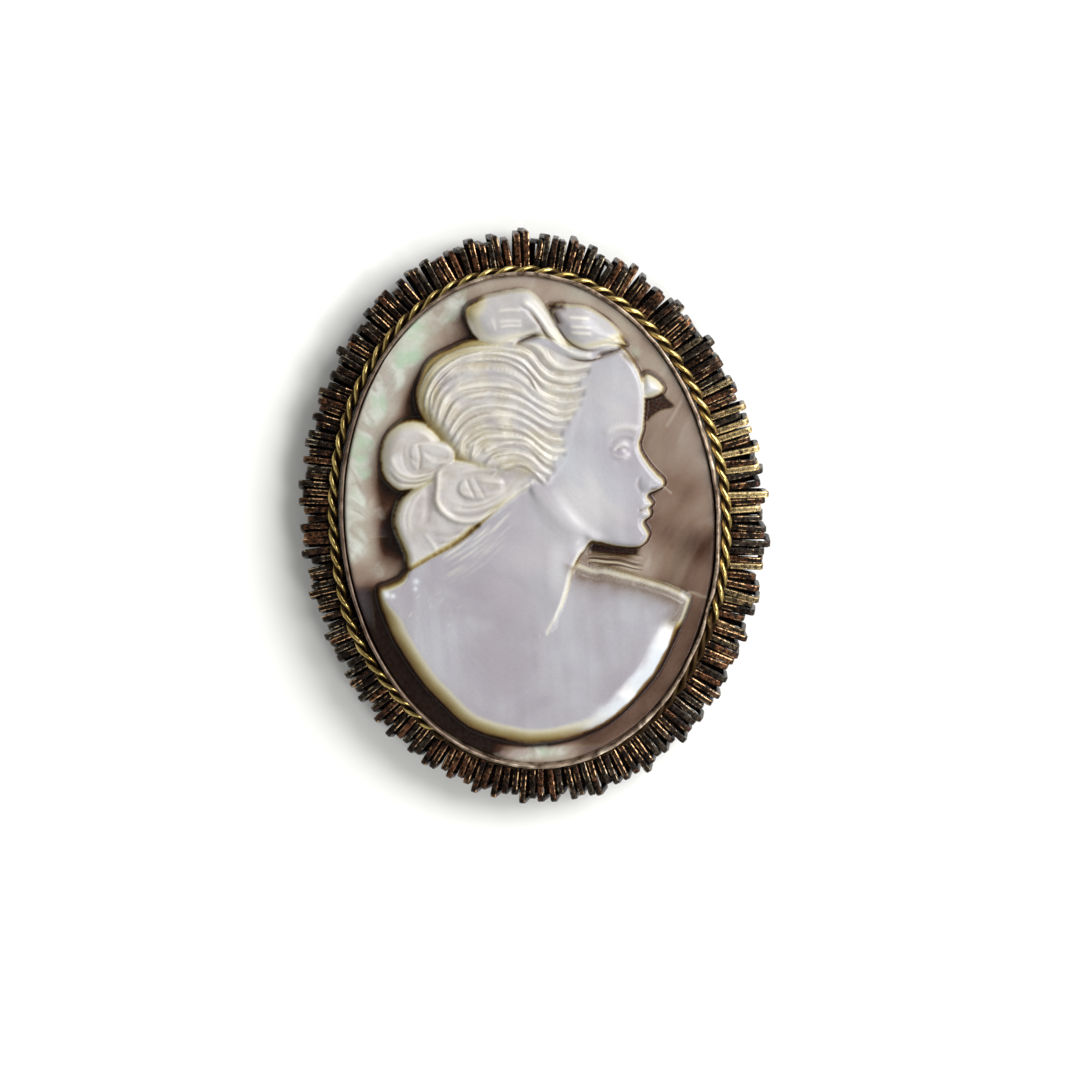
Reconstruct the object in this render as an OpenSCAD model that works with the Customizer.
// Oval cameo brooch: a carved shell in a metal setting, edged with a twisted
// rope and a fringe of wound wire, with a pin on the back.
// The origin is under the middle of the brooch, where the pin hardware rests.
// +Z points out of the face and +Y to the crown of the head. Millimetres.

/* [Shell] */
// Width of the shell across its ground
shell_w = 30; // [26:0.5:36]
// Length of the shell along its ground
shell_l = 40; // [35:0.5:46]
// Thickness of the shell at its ground
shell_t = 2.6; // [2.2:0.1:3.4]
// Height of the carving above the ground
relief_h = 1.9; // [1.2:0.1:2.6]
// Thickness of a carved thread of hair
thread_d = 0.54; // [0.4:0.02:0.8]

/* [Setting] */
// Thickness of the bezel wall
wall_t = 0.3; // [0.2:0.05:0.5]
// Thickness of the back plate
plate_t = 0.4; // [0.3:0.05:0.8]
// Clearance between one piece and the next
gap = 0.1; // [0.08:0.01:0.15]
// Clearance beside the shell at its two sides
side_gap = 0.3; // [0.15:0.05:0.5]
// Height of the rim above the shell's ground
rim_h = 0.4; // [0.3:0.05:0.8]
// How far the rim leans out at the two ends
flare_w = 0.67; // [0.4:0.01:0.9]
// Height over which the rim leans out
flare_h = 1.4; // [1.2:0.1:1.8]

/* [Rope] */
// Diameter of one strand of the rope
strand_d = 0.4; // [0.3:0.02:0.44]
// Diameter of the circle that a strand's middle turns on
lay_d = 0.48; // [0.46:0.01:0.6]
// Number of full twists round the brooch
twists = 36; // [24:1:44]
// How far the rope stands off the wall at its low left stretch
rope_bulge = 0.35; // [0:0.05:0.5]

/* [Fringe] */
// Width of the wire across its flats
wire_d = 0.46; // [0.36:0.02:0.5]
// Number of turns in the coil
turns = 176; // [120:1:184]
// Width of the coil from its inner to its outer runs
fringe_w = 3; // [2:0.1:4]
// Height of the coil over its two layers
fringe_h = 2.6; // [1.6:0.1:3]
// How much the length of the turns varies each way
fringe_uneven = 0.44; // [0:0.02:0.5]

/* [Pin] */
// Height of the pin hardware below the back plate
pin_h = 2.2; // [1.8:0.1:3]
// Distance from the hinge to the catch
pin_l = 22; // [16:0.5:25]
// Diameter of the pin's stem
stem_d = 0.7; // [0.5:0.05:0.9]
// Diameter of the hinge knuckle and of the catch
knuckle_d = 1.7; // [1.4:0.1:1.8]
// Length of the hinge knuckle, and of the catch along the stem
knuckle_l = 2.4; // [1.8:0.1:3.5]
// Thickness of the bar that the hinge and catch stand on
bar_t = 0.3; // [0.2:0.05:0.5]
// Height of the pin above the middle of the brooch
pin_up = 5; // [2:0.5:8]
// Thickness of the solder film between the bar and the back plate
solder_t = 0.02; // [0.01:0.01:0.05]

/* [Hidden] */

// Heights of the layers, from the plane of rest upward
z_plate = pin_h;
z_shell = z_plate + plate_t + gap;
z_ground = z_shell + shell_t;
z_rim = z_ground + rim_h;
z_flare = z_rim - flare_h;

// The shell's top edge is bevelled, and below it the two ends are cut back as far as
// the wall leans in, so that the clearance is the same all the way down
top_bevel = 0.12;
undercut = flare_w * (flare_h - rim_h - top_bevel) / flare_h;

// Half sizes of the wall's inner and outer faces
wall_in = [shell_w / 2 + side_gap, shell_l / 2 - undercut + gap];
wall_out = wall_in + [wall_t, wall_t];
lean = [0, flare_w];

// The rope lies against the wall, with the coil below it
rope_r = (lay_d + strand_d) / 2;
rope_off = gap / 2 + rope_r;
z_rope = z_flare - gap / 2;
coil_top = z_rope - rope_r - gap;
coil_off = gap + wire_d / 2;
wall_steps = 64;
arc_steps = 120;

// The stretch of rope that stands off the wall: its middle and spread in degrees
bulge_at = 203;
bulge_spread = 13;

// How the fringe's turns vary in length: two waves of share, step and start
waves = [[0.6, 137.5, 0], [0.4, 61.3, 40]];

// Even spacing along the oval: a table of length travelled against angle
function on_wall(a) = [wall_out[0] * cos(a), wall_out[1] * sin(a)];
function outward(a) = let (n = [wall_out[1] * cos(a), wall_out[0] * sin(a)]) n / norm(n);
function along(a) = let (n = outward(a)) [-n[1], n[0]];
function angle_step(i) = i * 360 / arc_steps;
travelled = [
    for (
        i = 0, s = 0;
        i <= arc_steps;
        s = s + norm(on_wall(angle_step(i + 1)) - on_wall(angle_step(i))), i = i + 1
    ) [s, angle_step(i)]
];
lap = travelled[arc_steps][0];
function angle_at(share) = lookup(share * lap, travelled);

function flat(rows) = [for (r = rows) each r];
function lift(p, z) = [p[0], p[1], z];

// Faces of a tube of rings that closes on itself
module closed_tube(rings) {
    n = len(rings);
    m = len(rings[0]);
    polyhedron(flat(rings), [
        for (i = [0:n - 1], k = [0:m - 1])
            let (j = (i + 1) % n, l = (k + 1) % m)
            each [
                [i * m + k, j * m + l, i * m + l],
                [i * m + k, j * m + k, j * m + l]
            ]
    ]);
}

// A solid of outlines one above the other, closed at both ends by a fan to a
// middle point
module stacked(outlines, first, last) {
    n = len(outlines);
    m = len(outlines[0]);
    polyhedron(
        concat(flat(outlines), [first, last]),
        [
            for (k = [0:m - 1])
                let (l = (k + 1) % m)
                each concat(
                    [[n * m, k, l], [n * m + 1, (n - 1) * m + l, (n - 1) * m + k]],
                    [
                        for (i = [0:n - 2])
                            each [
                                [i * m + k, (i + 1) * m + k, i * m + l],
                                [i * m + l, (i + 1) * m + k, (i + 1) * m + l]
                            ]
                    ]
                )
        ]
    );
}

function oval(half, z) = [
    for (k = [0:wall_steps - 1])
        let (a = k * 360 / wall_steps)
        [half[0] * cos(a), half[1] * sin(a), z]
];

// Bezel wall with its leaning rim, and the closed back plate, soldered
module setting() {
    color([0.42, 0.33, 0.27])
    stacked(
        [
            oval(wall_out, z_plate),
            oval(wall_out, z_flare),
            oval(wall_out + lean, z_rim),
            oval(wall_in + lean, z_rim),
            oval(wall_in, z_flare),
            oval(wall_in, z_plate + plate_t)
        ],
        [0, 0, z_plate],
        [0, 0, z_plate + plate_t]
    );
}

// One strand of the rope, a pentagon swept round the wall while it turns
// about the rope's middle, with a few rings to each twist
strand_sides = 5;
twist_rings = 6;
function bulge(a) = rope_bulge * exp(-pow((a - bulge_at) / bulge_spread, 2));
function rope_ring(share, phase) =
    let (
        a = angle_at(share),
        n = outward(a),
        turn = phase + 360 * twists * share,
        mid = on_wall(a) + (rope_off + bulge(a) + lay_d / 2 * cos(turn)) * n,
        z = z_rope + lay_d / 2 * sin(turn)
    )
    [
        for (k = [0:strand_sides - 1])
            let (b = turn + k * 360 / strand_sides)
            lift(mid + strand_d / 2 * cos(b) * n, z + strand_d / 2 * sin(b))
    ];
module rope_strand(phase) {
    rings = twist_rings * twists;
    color([0.78, 0.62, 0.28])
    closed_tube([for (i = [rings - 1:-1:0]) rope_ring(i / rings, phase)]);
}
module rope_strand_a() {
    rope_strand(0);
}
module rope_strand_b() {
    rope_strand(180);
}

// The fringe: one square wire wound into a flat coil, four bends to a turn.
// Each bend has its place along the turn, side and level.
bends = [[0, -1, 1], [0, 1, 1], [0.3, 1, -1], [0.7, -1, -1]];
function wave(w, k) = w[0] * sin(w[1] * k + w[2]);
function reach(k) = fringe_uneven * (wave(waves[0], k) + wave(waves[1], k));
function bend_ring(k, b) =
    let (
        a = angle_at((k + b[0]) / turns),
        n = outward(a),
        t = along(a) * wire_d / 2,
        width = b[1] > 0 ? fringe_w - wire_d + reach(k) : 0,
        p = on_wall(a) + (coil_off + width) * n,
        z = b[2] > 0 ? coil_top - wire_d / 2 : coil_top - fringe_h + wire_d / 2,
        r = wire_d / 2 * b[1] * n,
        h = wire_d / 2 * b[2]
    )
    [lift(p + t + r, z + h), lift(p - t + r, z + h), lift(p - t - r, z - h), lift(p + t - r, z - h)];
module wire_coil() {
    color([0.3, 0.2, 0.14])
    closed_tube([for (k = [0:turns - 1], b = bends) bend_ring(k, b)]);
}

// Pin hardware: hinge knuckle, stem and catch on one soldered bar
module pin_back() {
    bar_low = pin_h - solder_t - bar_t;
    post_w = knuckle_d / 2;
    color([0.5, 0.4, 0.3])
    translate([0, pin_up, 0]) {
        translate([-pin_l / 2 - knuckle_d, -knuckle_l / 2, bar_low])
        cube([pin_l + knuckle_d + knuckle_l, knuckle_l, bar_t]);
        translate([-pin_l / 2, knuckle_l / 2, knuckle_d / 2])
        rotate([90, 0, 0])
        cylinder(h = knuckle_l, d = knuckle_d, $fn = 32);
        translate([-(pin_l + post_w) / 2, -post_w / 2, knuckle_d / 2])
        cube([post_w, post_w, bar_low + bar_t / 2 - knuckle_d / 2]);
        translate([-pin_l / 2, 0, knuckle_d / 2])
        rotate([0, 90, 0])
        cylinder(h = pin_l + knuckle_l, d = stem_d, $fn = 24);
        translate([(pin_l - knuckle_l) / 2, 0, knuckle_d / 2])
        catch(bar_low + bar_t / 2 - knuckle_d / 2);
    }
}
// The catch is an open hook, round the stem but clear of it, with one side
// that rises to the bar
module catch(rise) {
    over = 1;
    difference() {
        union() {
            rotate([0, 90, 0])
            cylinder(h = knuckle_l, d = knuckle_d, $fn = 32);
            translate([0, -knuckle_d / 2, 0])
            cube([knuckle_l, bar_t, rise]);
        }
        translate([-over, 0, 0])
        rotate([0, 90, 0])
        cylinder(h = knuckle_l + 2 * over, d = knuckle_d - 2 * bar_t, $fn = 32);
        translate([-over, 0, 0])
        cube([knuckle_l + 2 * over, knuckle_d, knuckle_d]);
    }
}

// Smooth closed or open curves through a few points
function spline(a, b, c, d, s) =
    (2 * b + (c - a) * s + (2 * a - 5 * b + 4 * c - d) * s * s + (3 * b - a - 3 * c + d) * s * s * s) / 2;
function knot(p, i) = p[(i + len(p)) % len(p)];
function on_loop(p, s) =
    let (i = floor(s)) spline(knot(p, i - 1), knot(p, i), knot(p, i + 1), knot(p, i + 2), s - i);
function loop(p, steps, start) = [for (k = [0:len(p) * steps - 1]) on_loop(p, (k + start) / steps)];
function end_knot(p, i) = p[min(max(i, 0), len(p) - 1)];
function run(p, steps) = [
    for (i = [0:len(p) - 2], k = [0:steps - 1])
        spline(end_knot(p, i - 1), p[i], p[i + 1], end_knot(p, i + 2), k / steps),
    p[len(p) - 1]
];
function turned(p) = [for (i = [len(p) - 1:-1:0]) p[i]];
function area(p) = [for (i = [0:len(p) - 1]) cross(p[i], knot(p, i + 1))] * [for (q = p) 1];
function anticlockwise(p) = area(p) > 0 ? p : turned(p);

// Places on the carving are in hundredths of the shell's half width and half
// length, and heights in hundredths of the carving's height
function at(p) = [p[0] * shell_w / 200, p[1] * shell_l / 200];
function up(h) = z_ground + h * relief_h / 100;
root = -20;
curve_steps = 2;

// A raised form: a steep side to the edge height, then a crown that rises
// to its top over the form's heart. Each row holds the share of the outline's
// size and the share of the rise, and starts half a step round from the last.
draft = 1.03;
crown = [[1, 0], [0.9, 0.5], [0.55, 0.88]];
module raised(outline, heart, edge, top) {
    points = anticlockwise([for (p = outline) at(p)]);
    h = at(heart);
    rows = concat([[draft, (root - edge) / (top - edge)]], crown);
    stacked(
        [
            for (i = [0:len(rows) - 1])
                let (c = rows[i])
                [
                    for (p = loop(points, curve_steps, i / 2))
                        lift(h + (p - h) * c[0], up(edge + (top - edge) * c[1]))
                ]
        ],
        lift(h, up(root)),
        lift(h, up(top))
    );
}

// A raised form that bulges out all round
module pebble(outline, heart, edge, top) {
    hull()
    raised(outline, heart, edge, top);
}

// A raised thread of hair, a ridge with sloping sides that run down into the
// crown below, swept along a run of points between two tips. Its crest sways a
// little to and fro, as cut by hand.
thread_tip = 0.5;
thread_sway = 0.2;
thread_root = 16;
function direction(p, i) = let (d = end_knot(p, i + 1) - end_knot(p, i - 1)) d / norm(d);
module thread(path, level, thick) {
    line = run([for (p = path) at(p)], curve_steps);
    last = len(line) - 1;
    low = up(level - thread_root);
    crest = [for (i = [0:last]) thick / 2 * (thread_tip + (1 - thread_tip) * sin(180 * i / last))];
    foot = [for (c = crest) up(level) + c - low];
    rings = [
        for (i = [0:last])
            let (d = direction(line, i), left = [-d[1], d[0]])
            [
                lift(line[i] + thread_sway * crest[i] * pow(-1, i) * left, low + foot[i]),
                lift(line[i] - foot[i] * left, low),
                lift(line[i] + foot[i] * left, low)
            ]
    ];
    stacked(
        rings,
        lift(line[0] - foot[0] * direction(line, 0), low),
        lift(line[last] + foot[last] * direction(line, last), low)
    );
}

// Oval slab with an upright side, cut back below at its two ends
module slab() {
    half = [shell_w / 2, shell_l / 2];
    bevel = [top_bevel, top_bevel];
    tuck = [0, undercut];
    stacked(
        [
            oval(half - tuck, z_shell),
            oval(half - tuck, z_flare),
            oval(half, z_ground - bevel[0]),
            oval(half - bevel, z_ground)
        ],
        [0, 0, z_shell],
        [0, 0, z_ground]
    );
}

// Outlines of the carving
bust = [
    [-67, -16], [-77, -20], [-85, -23], [-83, -35], [-74, -52], [-57, -73], [-36, -86], [-6, -92],
    [22, -90], [43, -83], [62, -68], [76, -51], [82, -35], [66, -29], [42, -22], [25, -20], [-20, -8]
];
neck = [
    [11, 16], [-24, 2], [-45, -8], [-66, -16], [-82, -24], [-74, -48], [-40, -66], [0, -54], [11, -39],
    [20, -24], [31, -13], [48, 2], [40, 20]
];
head = [
    [4, 66], [30, 72], [57, 71], [66, 59], [68, 46], [65, 33], [62, 28], [67, 21], [74, 13], [72, 9],
    [65, 8], [67, 4], [64, 2], [66, -1], [62, -3], [65, -8], [62, -12], [55, -14], [42, -11], [24, -6],
    [6, 10], [-4, 36]
];
eye = [[44, 27], [50, 31], [57, 28], [51, 25]];
nose_wing = [[54, 12], [59, 15], [63, 12], [58, 9]];
hair = [
    [-26, 76], [-45, 72], [-54, 63], [-56, 52], [-51, 43], [-41, 31], [-30, 22], [-14, 18], [10, 13],
    [22, 20], [28, 34], [34, 46], [40, 56], [45, 65], [29, 71], [0, 76]
];
bun = [[-47, 39], [-57, 46], [-68, 45], [-76, 39], [-79, 27], [-71, 17], [-54, 20], [-41, 27]];
curl = [[-50, 20], [-49, 10], [-38, 3], [-21, 3], [-4, 13], [11, 17], [-10, 27], [-30, 29], [-46, 27]];
lock = [[-71, 15], [-77, 5], [-75, -4], [-66, -16], [-46, -8], [-22, 4], [-42, 12], [-56, 20]];
left_lobe = [
    [-26, 89], [-12, 93], [8, 94], [21, 83], [30, 70], [22, 71], [8, 75], [-9, 73], [-22, 77]
];
right_lobe = [[23, 87], [40, 87], [50, 80], [58, 71], [46, 69], [33, 67], [24, 75]];
front_lock = [[64, 53], [71, 55], [79, 49], [83, 43], [74, 45], [65, 44]];

// Threads of hair over the crown, outermost first
hair_threads = [
    [[-53, 46], [-50, 62], [-30, 73], [-2, 74], [10, 66], [22, 61], [40, 61]],
    [[-47, 44], [-44, 56], [-24, 68], [-4, 68], [6, 59], [18, 52], [38, 53]],
    [[-43, 42], [-34, 54], [-14, 58], [0, 56], [10, 48], [22, 45], [36, 47]],
    [[-41, 36], [-33, 46], [-16, 50], [0, 48], [12, 41], [30, 40]],
    [[-38, 31], [-26, 40], [-10, 42], [2, 39], [12, 33], [28, 33]],
    [[-22, 27], [-12, 35], [2, 34], [12, 28], [26, 28]],
    [[-18, 22], [-6, 30], [4, 28], [14, 20]]
];
bun_threads = [
    [[-44, 33], [-58, 41], [-72, 36], [-74, 24], [-62, 19], [-46, 26]],
    [[-52, 33], [-63, 33], [-64, 26], [-54, 25]]
];
curl_threads = [
    [[-46, 24], [-45, 11], [-32, 6], [-14, 9], [4, 16]],
    [[-38, 22], [-38, 14], [-26, 11], [-12, 14]],
    [[-28, 22], [-30, 16], [-20, 16], [-16, 22]]
];

// The carved shell, one piece
module cameo() {
    color([0.82, 0.79, 0.8])
    union() {
        slab();
        raised(bust, heart = [-4, -52], edge = 52, top = 66);
        raised(neck, heart = [-16, -26], edge = 58, top = 80);
        raised(head, heart = [30, 34], edge = 66, top = 92);
        raised(hair, heart = [-12, 48], edge = 76, top = 98);
        pebble(eye, heart = [51, 28], edge = 84, top = 96);
        pebble(nose_wing, heart = [59, 12], edge = 74, top = 90);
        pebble(bun, heart = [-58, 31], edge = 62, top = 84);
        pebble(curl, heart = [-24, 16], edge = 84, top = 98);
        pebble(lock, heart = [-56, 4], edge = 56, top = 74);
        pebble(left_lobe, heart = [0, 83], edge = 84, top = 100);
        pebble(right_lobe, heart = [38, 77], edge = 84, top = 98);
        pebble(front_lock, heart = [72, 50], edge = 60, top = 78);
        for (path = hair_threads)
            thread(path, level = 94, thick = thread_d);
        for (path = bun_threads)
            thread(path, level = 80, thick = thread_d);
        for (path = curl_threads)
            thread(path, level = 95, thick = thread_d);
    }
}

cameo();
setting();
rope_strand_a();
rope_strand_b();
wire_coil();
pin_back();
